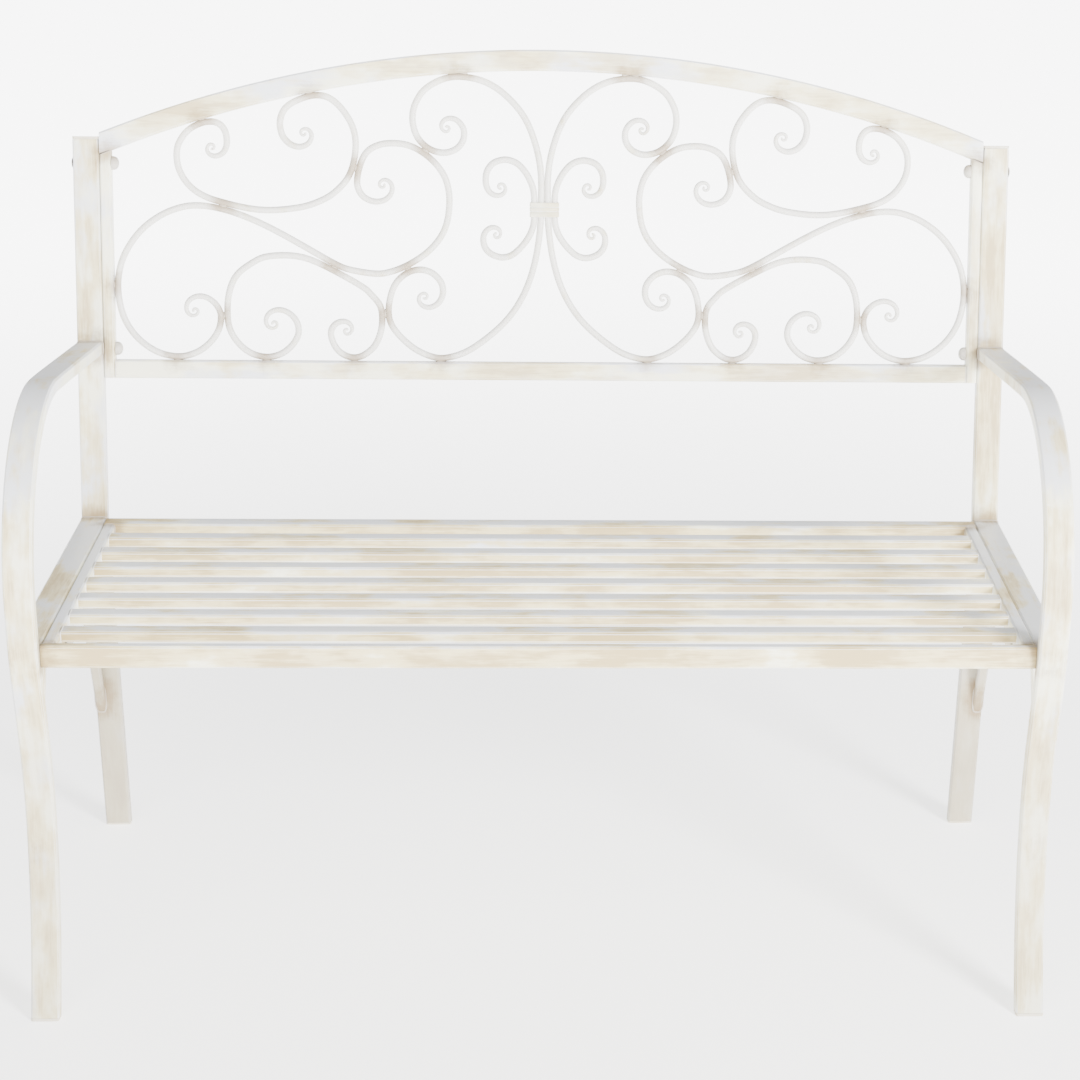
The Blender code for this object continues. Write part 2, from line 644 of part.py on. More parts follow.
def scrolls():
    """For each scroll: first curl's centre and winding (1 is to the left), knots, last curl's."""
    collar_top = COLLAR_BOTTOM + 0.060
    return {
        "tall_c_scroll": (((0.229, 0.822), -1), [
            free(0.189, 0.787), free(0.208, 0.746), free(0.243, 0.737),
            beside(TALL_AND_S_UPPER, 1), free(0.309, 0.866), free(0.277, 0.968), on_arch(0.201),
            free(0.103, 0.943), free(0.033, 0.806), free(0.010, 0.680), in_collar(0, collar_top),
            in_collar(0, COLLAR_BOTTOM), free(0.014, 0.410), free(0.055, 0.209),
            free(0.150, 0.056), on_rail(0.237), free(0.327, 0.059), beside(TALL_AND_LOWER, 1),
            beside(TALL_AND_S_LOWER, -1), free(0.267, 0.310), free(0.239, 0.236)],
            ((0.282, 0.222), 1)),
        "small_c_scroll": (((0.103, 0.608), -1), [
            free(0.138, 0.630), free(0.124, 0.688), free(0.086, 0.703), free(0.037, 0.640),
            in_collar(1, collar_top), in_collar(1, COLLAR_BOTTOM), free(0.050, 0.404),
            free(0.096, 0.360), free(0.143, 0.412)],
            ((0.113, 0.440), 1)),
        "s_scroll": (((0.379, 0.635), -1), [
            free(0.428, 0.605), beside(S_AND_UPPER_SIDE, 1), free(0.411, 0.767),
            free(0.360, 0.784), beside(TALL_AND_S_UPPER, -1), free(0.236, 0.656),
            free(0.223, 0.567), free(0.244, 0.436), beside(TALL_AND_S_LOWER, 1),
            free(0.397, 0.311), beside(S_AND_LOWER_TOP, 1), free(0.646, 0.520),
            beside(S_AND_UPPER_TOP, -1), free(0.820, 0.658), free(0.897, 0.645),
            free(0.978, 0.515), on_upright(0.352), free(0.961, 0.098), on_rail(0.864),
            free(0.793, 0.051), beside(S_AND_LOWER_SIDE, -1)],
            ((0.822, 0.200), -1)),
        "upper_c_scroll": (((0.776, 0.886), 1), [
            free(0.741, 0.900), free(0.757, 0.973), on_arch(0.800), free(0.857, 0.915),
            free(0.844, 0.790), beside(S_AND_UPPER_TOP, 1), free(0.670, 0.594),
            free(0.594, 0.582), free(0.512, 0.606), beside(S_AND_UPPER_SIDE, -1),
            free(0.452, 0.873), on_arch(0.540), free(0.617, 0.927), free(0.597, 0.836)],
            ((0.562, 0.864), -1)),
        "lower_c_scroll": (((0.637, 0.133), -1), [
            free(0.579, 0.107), free(0.597, 0.043), on_rail(0.655), free(0.725, 0.066),
            beside(S_AND_LOWER_SIDE, 1), free(0.730, 0.320), free(0.648, 0.404),
            beside(S_AND_LOWER_TOP, -1), free(0.433, 0.270), beside(TALL_AND_LOWER, -1),
            free(0.398, 0.050), on_rail(0.448), free(0.499, 0.060), free(0.501, 0.109)],
            ((0.466, 0.101), 1)),
    }


def curl(outer, centre, winding):
    """Knots from the rod's last knot in to the curl's eye and round it, with each one's diameter."""
    arm = outer - centre
    start = math.degrees(math.atan2(arm.y, arm.x))
    reach = math.degrees(math.log(arm.length / EYE_RADIUS) / CURL_TIGHTENING)
    knots = []
    for turns, shift, radii, diameters in (
            (reach, 0.0, (arm.length, EYE_RADIUS), (ROD, ROD_AT_EYE)),
            (EYE_TURN, reach, (EYE_RADIUS, EYE_END_RADIUS), (ROD_AT_EYE, ROD_TIP))):
        steps = math.ceil(turns / CURL_STEP)
        for step in range(1, steps + 1):
            share = step / steps
            radius = radii[0] * (radii[1] / radii[0]) ** share
            diameter = diameters[0] + (diameters[1] - diameters[0]) * share
            angle = start + winding * (shift + turns * share)
            knots.append((centre + direction(angle) * radius, None, diameter))
    return knots


def headings(knots):
    """Direction of travel at each knot, in degrees."""
    found = []
    for index, (point, fixed, _) in enumerate(knots):
        before = knots[max(index - 1, 0)][0]
        after = knots[min(index + 1, len(knots) - 1)][0]
        inward = point - before
        outward = after - point
        if inward.length > 0 and outward.length > 0:
            travel = inward / inward.length_squared + outward / outward.length_squared
        else:
            travel = after - before
        along = math.degrees(math.atan2(travel.y, travel.x))
        if fixed is not None:
            along = fixed if direction(fixed).dot(travel) > 0 else fixed + 180
        found.append(along)
    return found


def smooth_rod(knots):
    """Points and radii along a smooth curve through the knots."""
    ways = headings(knots)
    points = [knots[0][0]]
    radii = [knots[0][2] / 2]
    for index in range(len(knots) - 1):
        (start, _, thick), (end, _, next_thick) = knots[index:index + 2]
        turn = (ways[index + 1] - ways[index] + 180) % 360 - 180
        steps = max(1, math.ceil(abs(turn) / ROD_STEP))
        chord = (end - start).length
        half = math.radians(max(abs(turn), 1.0)) / 2
        pull = chord * 2 * math.tan(half / 2) / math.sin(half)
        for step in range(1, steps + 1):
            t = step / steps
            points.append(start * (2 * t ** 3 - 3 * t ** 2 + 1) + end * (3 * t ** 2 - 2 * t ** 3)
                          + direction(ways[index]) * pull * (t ** 3 - 2 * t ** 2 + t)
                          + direction(ways[index + 1]) * pull * (t ** 3 - t ** 2))
            radii.append((thick + (next_thick - thick) * t) / 2)
    return points, radii


def scroll_work(frame):
    for name, ((first_eye, first_winding), body, (last_eye, last_winding)) in scrolls().items():
        knots = [(point, heading, ROD) for point, heading in body]
        first = curl(knots[0][0], panel_point(*first_eye), first_winding)
        last = curl(knots[-1][0], panel_point(*last_eye), last_winding)
        points, radii = smooth_rod(first[::-1] + knots + last)
        for side, label in SIDES:
            mirrored = [(side * point.x, point.y) for point in points]
            rod = curve_through(name + "_" + label, [mirrored])
            rod.data.bevel_depth = 1.0
            rod.data.bevel_resolution = 1
            rod.data.use_fill_caps = True
            for knot, radius in zip(rod.data.splines[0].points, radii):
                knot.radius = radius
            item = add_object(name + "_" + label, meshed(rod), PARTS, frame)
            finish(item, CREAM_PAINT)
    collar(frame)


def collar(frame):
    """Band round the four rods at the middle."""
    inside = (4 * ROD_PITCH + GAP, ROD + 2 * GAP)
    outside = (inside[0] + 2 * COLLAR_WALL, inside[1] + 2 * COLLAR_WALL)
    band = curve_through("collar", [rounded_rectangle(*outside, COLLAR_WALL),
                                    rounded_rectangle(*inside, 0.0)], closed=True)
    band.data.fill_mode = "BOTH"
    band.data.extrude = COLLAR_HEIGHT / 2
    item = add_object("collar", meshed(band), PARTS, frame)
    item.rotation_euler = (-math.pi / 2, 0.0, 0.0)
    item.location = (0.0, panel_point(0.0, COLLAR_BOTTOM).y + COLLAR_HEIGHT / 2, 0.0)
    finish(item, CREAM_PAINT)


for old in list(bpy.data.objects):
    bpy.data.objects.remove(old)
PARTS = collection_named("garden_bench")
CUTTERS = collection_named("cutters")
SIDES = ((-1, "left"), (1, "right"))
DEPTH_CENTRE = depth_centre()
FRAMES = {side: side_frame(side, label) for side, label in SIDES}
BACK_POSTS = {side: pieces[0] for side, pieces in FRAMES.items()}
SIDE_RAILS = {side: pieces[1] for side, pieces in FRAMES.items()}
seat_panel()
back_panel()
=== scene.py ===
"""Look of a cream-painted steel garden bench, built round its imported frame."""
import json
import math
import random

import bpy
import numpy as np
from bpy.props import FloatProperty, FloatVectorProperty, IntProperty, PointerProperty
from mathutils import Matrix, Vector
from mathutils.bvhtree import BVHTree
from mathutils.geometry import convex_hull_2d

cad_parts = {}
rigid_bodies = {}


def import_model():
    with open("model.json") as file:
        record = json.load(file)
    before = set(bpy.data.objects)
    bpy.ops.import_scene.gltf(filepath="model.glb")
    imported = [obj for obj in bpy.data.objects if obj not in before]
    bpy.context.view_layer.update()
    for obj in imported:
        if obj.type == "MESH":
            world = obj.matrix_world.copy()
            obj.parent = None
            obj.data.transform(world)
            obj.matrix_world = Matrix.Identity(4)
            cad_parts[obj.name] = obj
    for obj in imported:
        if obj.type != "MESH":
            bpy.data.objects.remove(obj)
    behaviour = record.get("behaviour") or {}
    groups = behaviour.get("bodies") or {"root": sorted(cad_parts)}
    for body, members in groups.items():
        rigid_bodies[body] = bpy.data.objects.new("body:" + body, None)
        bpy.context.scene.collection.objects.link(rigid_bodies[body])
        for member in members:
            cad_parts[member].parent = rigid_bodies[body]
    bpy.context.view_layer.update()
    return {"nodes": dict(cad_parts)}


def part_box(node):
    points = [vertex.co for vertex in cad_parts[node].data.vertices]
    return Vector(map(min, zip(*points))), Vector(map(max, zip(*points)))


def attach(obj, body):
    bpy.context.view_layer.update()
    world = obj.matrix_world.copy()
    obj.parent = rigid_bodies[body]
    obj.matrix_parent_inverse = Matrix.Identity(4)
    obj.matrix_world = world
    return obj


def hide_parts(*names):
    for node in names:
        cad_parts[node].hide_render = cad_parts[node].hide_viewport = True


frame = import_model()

bl_info = {
    "name": "Garden Bench",
    "version": (1, 0, 0),
    "blender": (4, 5, 0),
    "location": "View3D > Sidebar > Bench",
    "description": "Builds the finished pieces, paint and stage of a steel garden bench",
    "category": "Object",
}

SIDES = ("left", "right")
SCROLLS = ("tall_c_scroll", "small_c_scroll", "s_scroll", "upper_c_scroll", "lower_c_scroll")
SLATS = tuple("seat_slat_%d" % number for number in range(1, 8))
BENT_TUBES = ("back_post", "front_leg_and_arm", "arch_brace")
RECLINE = math.radians(9.4)
COLLAR_GROOVES = (-0.22, 0.36)
COLLAR_RINGS = (-0.32, -0.22, -0.12, 0.26, 0.36, 0.46)
UP_THE_BACK = Vector((0.0, math.sin(RECLINE), math.cos(RECLINE)))
BACKWARDS = Vector((0.0, math.cos(RECLINE), -math.sin(RECLINE)))
COLLAR_GROOVE_DEPTH = 0.0007
LONG_RUN = 0.1
BEAD_STEP = 0.003
GAP_REACH = 0.0016
# Near-black of the painted shade in the narrow gaps between bolted pieces.
GAP_SHADE_COLOUR = (0.05, 0.04, 0.03, 1.0)
# Marks that the paint reads: build-up at joints, rubbed edges with a painted highlight, painted shade in
# narrow gaps, painted warm light on forward faces and painted cool shade on upward faces.
PAINT_AND_LIGHT_MARKS = ("joint", "edge", "groove", "front", "top")

SIDE_FRAME = (*BENT_TUBES, "side_rail", "front_foot_plug", "rear_foot_plug", "post_cap")
SEAT_PANEL = ("seat_slat", "seat_side_rail", "front_rail", "rear_rail")


def group_of(name):
    """Which of the three bolted-together parts a piece belongs to."""
    if name.startswith(SIDE_FRAME):
        return name.split("_")[-2]
    return "seat" if name.startswith(SEAT_PANEL) else "back"


def on_both_sides(*names):
    return [name + "_" + side for name in names for side in SIDES]


# Stage: each light's name, place, size and power, then the camera

LIGHTS = (("key", (2.5, -3.5, 1.9), 1.2, 620.0),
          ("fill", (-1.6, -4.0, 1.6), 2.4, 120.0))
LIGHT_AIM = Vector((0.0, 0.0, 0.45))
SKY_STRENGTH = 0.9
FLOOR_SIZE = 60.0
FLOOR_GLOW = 7.0
CAMERA_PLACE = (0.0008, -2.7386, 1.3587)
CAMERA_LENS = 86.3
CAMERA_SHIFT = -0.1160
CAMERA_PAN = math.radians(-2.826)
CAMERA_TILT = math.radians(-18.363)
CAMERA_ROLL = math.radians(-1.080)


# Sizes and colours that a user may change

class BenchSizes(bpy.types.PropertyGroup):
    tube_corner: FloatProperty(name="Tube corner", description="Rounding of the tubes' corners",
                               default=0.0011, unit="LENGTH")
    tube_fineness: IntProperty(name="Tube fineness", description="Smoothing of the bent tubes",
                               default=2, min=0, max=3)
    rod_fineness: IntProperty(name="Rod fineness", description="Smoothing of the scroll rods",
                              default=2, min=0, max=3)
    collar_height: FloatProperty(name="Collar height", description="Height of the band round the rods",
                                 default=0.017, unit="LENGTH")
    weld_radius: FloatProperty(name="Weld radius", description="Radius of the weld beads on the tubes",
                               default=0.0012, unit="LENGTH")
    seam_radius: FloatProperty(name="Seam radius", description="Radius of the filled, ground seams",
                               default=0.0006, unit="LENGTH")
    joint_reach: FloatProperty(name="Joint reach", default=0.030, unit="LENGTH",
                               description="How far paint build-up spreads from a joint")
    mark_step: FloatProperty(name="Mark step", description="Spacing of the points that hold the wear marks",
                             default=0.014, unit="LENGTH")


def colour_property(name, description, default):
    return FloatVectorProperty(name=name, description=description, default=default, size=3,
                               subtype="COLOR", min=0.0, max=1.0)


class BenchColours(bpy.types.PropertyGroup):
    cream: colour_property("Cream", "Main colour of the paint", (0.88, 0.86, 0.68))
    # Also used for the painted highlight on the rounded edges.
    white: colour_property("White", "Worn, lighter paint", (0.93, 0.93, 0.91))
    lilac: colour_property("Cool grey", "Cool shade in the paint", (0.62, 0.65, 0.75))
    straw: colour_property("Straw", "Thin antique wash", (0.68, 0.57, 0.29))
    tan: colour_property("Tan", "Rubbed antique streaks", (0.42, 0.31, 0.14))
    # Grey-brown paint of the rods and fasteners; on the side frames it is also the painted shade under the
    # seat.
    shade: colour_property("Shade", "Grey-brown of the legs', rods' and fasteners' paint",
                           (0.37, 0.33, 0.26))
    ochre: colour_property("Ochre", "Build-up at the joints", (0.22, 0.14, 0.055))
    plastic: colour_property("Plastic", "End plugs and caps", (0.66, 0.62, 0.52))
    floor: colour_property("Floor", "Floor of the stage", (0.93, 0.93, 0.93))


# Making shapes

def choose(piece):
    """Selects this object alone and makes it the active one."""
    bpy.ops.object.select_all(action="DESELECT")
    piece.select_set(True)
    bpy.context.view_layer.objects.active = piece


def copy_of(node, name):
    """Copy of a frame node's mesh as a new piece, with its triangles joined up."""
    piece = bpy.data.objects.new(name, frame["nodes"][node].data.copy())
    piece.data.name = name
    piece.data.materials.clear()
    bpy.context.scene.collection.objects.link(piece)
    choose(piece)
    bpy.ops.object.mode_set(mode="EDIT")
    bpy.ops.mesh.select_all(action="SELECT")
    bpy.ops.mesh.remove_doubles(threshold=0.000005)
    bpy.ops.mesh.customdata_custom_splitnormals_clear()
    bpy.ops.object.mode_set(mode="OBJECT")
    return piece


def apply_modifier(piece, name, kind, **settings):
    choose(piece)
    modifier = piece.modifiers.new(name, kind)
    for key, value in settings.items():
        setattr(modifier, key, value)
    bpy.ops.object.modifier_apply(modifier=name)


def smooth(piece, levels, rounds=0):
    """Subdivides. Each round brings the smooth surface nearer to the points it had before."""
    choose(piece)
    modifier = piece.modifiers.new("smooth", "SUBSURF")
    modifier.levels = levels
    count = len(piece.data.vertices)
    wanted = points_of(piece.data, count)
    for _ in range(rounds):
        graph = bpy.context.evaluated_depsgraph_get()
        shown = points_of(piece.evaluated_get(graph).data, count)
        cage = points_of(piece.data, count) + (wanted - shown)
        piece.data.vertices.foreach_set("co", cage.ravel())
        piece.data.update()
    bpy.ops.object.modifier_apply(modifier="smooth")


def points_of(mesh, count=None):
    points = np.empty(len(mesh.vertices) * 3)
    mesh.vertices.foreach_get("co", points)
    return points.reshape(-1, 3)[:count]


def round_edges(piece, width, segments=3, angle=30):
    apply_modifier(piece, "round", "BEVEL", width=width, segments=segments, limit_method="ANGLE",
                   angle_limit=math.radians(angle), harden_normals=False, use_clamp_overlap=True)


def shade(piece, angle=40):
    choose(piece)
    bpy.ops.object.shade_smooth_by_angle(angle=math.radians(angle))


def tube_piece(node, bent):
    """The frame's tube with rounded corners and, if it is bent, a smooth run."""
    sizes = bpy.context.scene.bench_sizes
    piece = copy_of(node, node + "_painted")
    bpy.ops.object.mode_set(mode="EDIT")
    bpy.ops.mesh.select_all(action="SELECT")
    if bent:
        bpy.ops.mesh.tris_convert_to_quads(face_threshold=math.radians(1.0),
                                           shape_threshold=math.radians(80.0))
        bpy.ops.mesh.select_mode(type="EDGE")
        bpy.ops.mesh.select_all(action="DESELECT")
        bpy.ops.mesh.edges_select_sharp(sharpness=math.radians(30))
        bpy.ops.transform.edge_crease(value=1.0)
    else:
        bpy.ops.mesh.dissolve_limited(angle_limit=math.radians(0.5))
    bpy.ops.object.mode_set(mode="OBJECT")
    if bent:
        smooth(piece, sizes.tube_fineness)
    round_edges(piece, sizes.tube_corner)
    low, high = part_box(node)
    spans = high - low
    for axis in range(3):
        if spans[axis] > LONG_RUN:
            direction = Vector((0.0, 0.0, 0.0))
            direction[axis] = 1.0
            slice_along(piece, direction, sizes.mark_step)
    shade(piece)
    return piece


def slice_along(piece, direction, step):
    """Cuts rings into the mesh at even steps, so that marks on it can vary along its run."""
    choose(piece)
    heights = [vertex.co.dot(direction) for vertex in piece.data.vertices]
    low, high = min(heights), max(heights)
    count = int((high - low) / step)
    bpy.ops.object.mode_set(mode="EDIT")
    for index in range(1, count + 1):
        bpy.ops.mesh.select_all(action="SELECT")
        bpy.ops.mesh.bisect(plane_co=direction * (low + (high - low) * index / (count + 1)),
                            plane_no=direction)
    bpy.ops.object.mode_set(mode="OBJECT")


def keep(piece, slot, *nodes):
    """Hands a finished piece to the frame."""
    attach(piece, "root")
    if nodes:
        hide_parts(*nodes)


def end_outline(node, outwards):
    """Corners of a tube's end face, in order, and the face's normal."""
    mesh = frame["nodes"][node].data
    reach = max(vertex.co.dot(outwards) for vertex in mesh.vertices)
    corners = []
    normal = Vector()
    for face in mesh.polygons:
        if face.normal.dot(outwards) > 0.9 and face.center.dot(outwards) > reach - 0.006:
            corners += [mesh.vertices[index].co.copy() for index in face.vertices]
            normal += face.normal * face.area
    if len(corners) < 3:
        raise RuntimeError("no end face on " + node)
    normal.normalize()
    across = Vector((1.0, 0.0, 0.0)) if abs(normal.x) < 0.9 else Vector((0.0, 1.0, 0.0))
    up = normal.cross(across).normalized()
    across = up.cross(normal)
    flat = [Vector((corner.dot(across), corner.dot(up))) for corner in corners]
    return [corners[index] for index in convex_hull_2d(flat)], normal


def bead_round(name, outline, radius, wobble):
    """Weld bead that follows a closed outline."""
    data = bpy.data.curves.new(name, "CURVE")
    data.dimensions = "3D"
    data.bevel_depth = radius
    data.bevel_resolution = 1
    run = data.splines.new("POLY")
    points = []
    for start, end in zip(outline, outline[1:] + outline[:1]):
        pieces = max(1, round((end - start).length / BEAD_STEP))
        points += [start.lerp(end, step / pieces) for step in range(pieces)]
    run.points.add(len(points) - 1)
    for place, point in zip(run.points, points):
        place.co = (*point, 1.0)
    run.use_cyclic_u = True
    bead = bpy.data.objects.new(name, data)
    bpy.context.scene.collection.objects.link(bead)
    choose(bead)
    bpy.ops.object.convert(target="MESH")
    bead = bpy.context.active_object
    smooth(bead, 1)
    roughen(bead, wobble)
    bpy.ops.object.shade_smooth()
    return bead


def roughen(piece, strength, grain=0.004):
    texture = bpy.data.textures.new(piece.name, "CLOUDS")
    texture.noise_scale = grain
    apply_modifier(piece, "rough", "DISPLACE", texture=texture, texture_coords="LOCAL",
                   strength=strength, mid_level=0.5)


def joined(name, pieces):
    """Joins pieces into one object."""
    bpy.ops.object.select_all(action="DESELECT")
    for piece in pieces:
        piece.select_set(True)
    bpy.context.view_layer.objects.active = pieces[0]
    if len(pieces) > 1:
        bpy.ops.object.join()
    item = bpy.context.active_object
    item.name = name
    item.data.name = name
    return item


# Where pieces meet

def surface_of(item):
    return BVHTree.FromPolygons([vertex.co for vertex in item.data.vertices],
                                [tuple(face.vertices) for face in item.data.polygons])


def touching_spots(item, tree, near=0.0012, spread=0.012):
    """Places where an object's surface all but touches another's, with the direction across."""
    close = []
    for vertex in item.data.vertices:
        point, _, _, distance = tree.find_nearest(vertex.co, near)
        if point is not None:
            close.append((distance, vertex.co.lerp(point, 0.5), vertex.normal.copy()))
    close.sort(key=lambda found: found[0])
    spots = []
    for _, place, across in close:
        if all((place - other).length > spread for other, _ in spots):
            spots.append((place, across))
    return spots


# Materials

class Finish:
    """A material's nodes. Values made here take Python's arithmetic."""

    def __init__(self, name):
        self.material = bpy.data.materials.new(name)
        self.material.use_nodes = True
        self.tree = self.material.node_tree
        self.shader = self.tree.nodes["Principled BSDF"]

    def plug(self, socket, value):
        if isinstance(value, Value):
            self.tree.links.new(value.socket, socket)
        else:
            socket.default_value = value

    def node(self, kind, settings, sockets, output=0):
        """Adds a node, with its settings first and then its sockets."""
        made = self.tree.nodes.new(kind)
        for key, value in settings.items():
            setattr(made, key, value)
        for key, value in sockets.items():
            self.plug(made.inputs[key], value)
        return Value(self, made.outputs[output])

    def noise(self, place, scale, detail=3.0, rough=0.55):
        return self.node("ShaderNodeTexNoise", {}, {"Vector": place, "Scale": scale,
                                                    "Detail": detail, "Roughness": rough}, "Fac")

    def ramp(self, value, low, high):
        """0 below the low value, 1 above the high one, and smooth between."""
        return self.node("ShaderNodeMapRange", {"interpolation_type": "SMOOTHSTEP"},
                         {"Value": value, "From Min": low, "From Max": high})

    def blend(self, share, start, end):
        return self.node("ShaderNodeMix", {"data_type": "RGBA"}, {0: share, 6: start, 7: end}, 2)

    def place(self, scale=(1.0, 1.0, 1.0), shift=(0.0, 0.0, 0.0)):
        own = self.node("ShaderNodeTexCoord", {}, {}, "Object")
        return self.node("ShaderNodeMapping", {}, {"Vector": own, "Scale": scale, "Location": shift})

    def attribute(self, name):
        return self.node("ShaderNodeAttribute", {"attribute_name": name}, {}, "Fac")

    def bump(self, height, strength, distance):
        return self.node("ShaderNodeBump", {}, {"Height": height, "Strength": strength,
                                                "Distance": distance})


class Value:
    """An output socket."""

    def __init__(self, finish, socket):
        self.finish = finish
        self.socket = socket

    def maths(self, operation, first, second):
        return self.finish.node("ShaderNodeMath", {"operation": operation}, {0: first, 1: second})

    def __add__(self, other):
        return self.maths("ADD", self, other)

    __radd__ = __add__

    def __mul__(self, other):
        return self.maths("MULTIPLY", self, other)

    __rmul__ = __mul__

    def __sub__(self, other):
        return self.maths("SUBTRACT", self, other)

    def __rsub__(self, other):
        return self.maths("SUBTRACT", other, self)


def opaque(colour):
    return (*colour, 1.0)


def legs_shaded_under_seat(paint):
    """Share of the greyer colour on the side frames: a little all over, more below the seat height, and
    most on the rear legs, where it is painted shade from the seat above them.
    """
    place = paint.place()
    height = paint.node("ShaderNodeSeparateXYZ", {}, {"Vector": place}, "Z")
    back = paint.node("ShaderNodeSeparateXYZ", {}, {"Vector": place}, "Y")
    low = 1.0 - paint.ramp(height, 0.26, 0.42)
    return 0.12 + low * (0.22 + paint.ramp(back, -0.05, 0.10) * 0.46)


def antique_paint(name, run, wash=1.0, shift=0.0, greyed_and_shaded=0.0, front_light_share=0.06):
    """Brushed cream paint.

    run names the axes along which its streaks lie, or is None. wash scales the tan wash,
    shift moves the pattern, greyed is the share of the shade colour or a function that gives
    it, which on the side frames holds painted shade under the seat, and fronts adds wash to
    the faces that look forwards, a painted warm light on them.
    """
    colours = bpy.context.scene.bench_colours
    paint = Finish(name)
    offset = (shift, shift * 0.7, shift * 1.3)

    def brushed(along, across):
        scale = tuple(along if run is None or axis in run else across for axis in "XYZ")
        return paint.place(scale, offset)

    even = paint.place(shift=offset)
    patches = paint.noise(brushed(9.0, 16.0), 1.0, 4.0, 0.6)
    cloud = paint.noise(brushed(6.0, 12.0), 1.7, 3.0)
    streaks = paint.noise(brushed(16.0, 130.0), 1.0, 3.0, 0.6)
    hairs = paint.noise(brushed(34.0, 620.0), 1.0, 2.0, 0.6)
    grain = paint.noise(even, 420.0, 3.0, 0.6)
    mottle = paint.noise(even, 70.0, 4.0, 0.65)
    joint, edge, groove, front, top = [paint.attribute(mark) for mark in PAINT_AND_LIGHT_MARKS]

    # Cool grey: random patches of it, and painted cool shade on the faces that look up.
    cool_tone_and_top_shade = paint.ramp(cloud + streaks * 0.25 + top * 0.24, 0.58, 0.76)
    # Straw and tan wash, with more of it on the faces that look forwards: painted warm light on them.
    thin = paint.ramp(patches * 0.75 + streaks * 0.25 + front * front_light_share, 0.49, 0.60)
    rubbed = paint.ramp(patches * 0.60 + streaks * 0.25 + hairs * 0.15 + front * (front_light_share * 0.6),
                        0.54, 0.66)
    bare = paint.ramp(streaks * 0.55 + cloud * 0.45, 0.50, 0.64)
    # Whiter paint on the rounded edges: rubbed-through paint, and a painted highlight where the edges catch
    # the light.
    worn_and_highlit = edge * paint.ramp(mottle * 0.5 + streaks * 0.5, 0.30, 0.48)
    soiled = paint.ramp(joint * 0.80 + mottle * 0.55 + hairs * 0.30, 0.72, 1.22)

    colour = paint.blend(bare * 0.60, opaque(colours.cream), opaque(colours.white))
    colour = paint.blend(cool_tone_and_top_shade * 0.72, colour, opaque(colours.lilac))
    colour = paint.blend(thin * 0.82 * wash, colour, opaque(colours.straw))
    colour = paint.blend(rubbed * 0.74 * wash, colour, opaque(colours.tan))
    colour = paint.blend(worn_and_highlit * 0.92, colour, opaque(colours.white))
    colour = paint.blend(greyed_and_shaded(paint) if callable(greyed_and_shaded) else greyed_and_shaded, colour,
                         opaque(colours.shade))
    colour = paint.blend(soiled * 0.72, colour, opaque(colours.ochre))
    # Painted shade in the narrow gaps where a piece meets another bolted group.
    colour = paint.blend(groove * 0.92, colour, GAP_SHADE_COLOUR)
    paint.plug(paint.shader.inputs["Base Color"], colour)
    paint.plug(paint.shader.inputs["Roughness"], 0.34 + mottle * 0.16 + rubbed * 0.12 + soiled * 0.14)
    relief = mottle * 0.30 + hairs * 0.45 + grain * 0.25
    paint.plug(paint.shader.inputs["Normal"], paint.bump(relief, 0.35, 0.0005))
    paint.shader.inputs["Specular IOR Level"].default_value = 0.45
    paint.shader.inputs["Coat Weight"].default_value = 0.12
    paint.shader.inputs["Coat Roughness"].default_value = 0.30
    return paint.material


def moulded_plastic(name):
    colours = bpy.context.scene.bench_colours
    plastic = Finish(name)
    grain = plastic.noise(plastic.place(), 900.0, 2.0)
    cloud = plastic.noise(plastic.place(), 45.0, 3.0)
    shade_of = plastic.blend(plastic.ramp(cloud, 0.35, 0.7) * 0.35, opaque(colours.plastic),
                             opaque(colours.tan))
    plastic.plug(plastic.shader.inputs["Base Color"], shade_of)
    plastic.plug(plastic.shader.inputs["Roughness"], 0.52 + cloud * 0.14)
    plastic.plug(plastic.shader.inputs["Normal"], plastic.bump(grain, 0.15, 0.0003))
    return plastic.material


def floor_paint(name):
    colours = bpy.context.scene.bench_colours
    floor = Finish(name)
    cloud = floor.noise(floor.place(), 0.6, 2.0)
    tone = floor.blend(cloud * 0.05, opaque(colours.floor), (0.88, 0.88, 0.88, 1.0))
    away = floor.node("ShaderNodeVectorMath", {"operation": "LENGTH"}, {0: floor.place()}, "Value")
    glow = floor.blend(floor.ramp(away, 0.2, 4.0), (0.26, 0.26, 0.26, 1.0), (1.0, 1.0, 1.0, 1.0))
    floor.plug(floor.shader.inputs["Base Color"], tone)
    floor.plug(floor.shader.inputs["Emission Color"], glow)
    floor.shader.inputs["Emission Strength"].default_value = FLOOR_GLOW
    floor.shader.inputs["Roughness"].default_value = 0.9
    floor.shader.inputs["Specular IOR Level"].default_value = 0.1
    return floor.material


# Operators

class BENCH_OT_side_frames(bpy.types.Operator):
    """Rounds and smooths the side frames' tubes and braces"""
    bl_idname = "bench.side_frames"
    bl_label = "Side frames"

    def execute(self, context):
        paint = antique_paint("frame paint", "YZ", greyed_and_shaded=legs_shaded_under_seat)
        for node in on_both_sides(*BENT_TUBES, "side_rail"):
            piece = tube_piece(node, "side_rail" not in node)
            piece.data.materials.append(paint)
            keep(piece, "cream_paint", node)
        return {"FINISHED"}


class BENCH_OT_seat(bpy.types.Operator):
    """Rounds the seat's rails and slats"""
    bl_idname = "bench.seat"
    bl_label = "Seat"

    def execute(self, context):
        across = antique_paint("seat paint", "X", 1.1, 3.0, front_light_share=0.16)
        deep = antique_paint("seat side paint", "Y", 1.0, 5.0)
        for node in ("front_rail", "rear_rail", *SLATS, *on_both_sides("seat_side_rail")):
            piece = tube_piece(node, False)
            piece.data.materials.append(deep if "side" in node else across)
            keep(piece, "cream_paint", node)
        return {"FINISHED"}


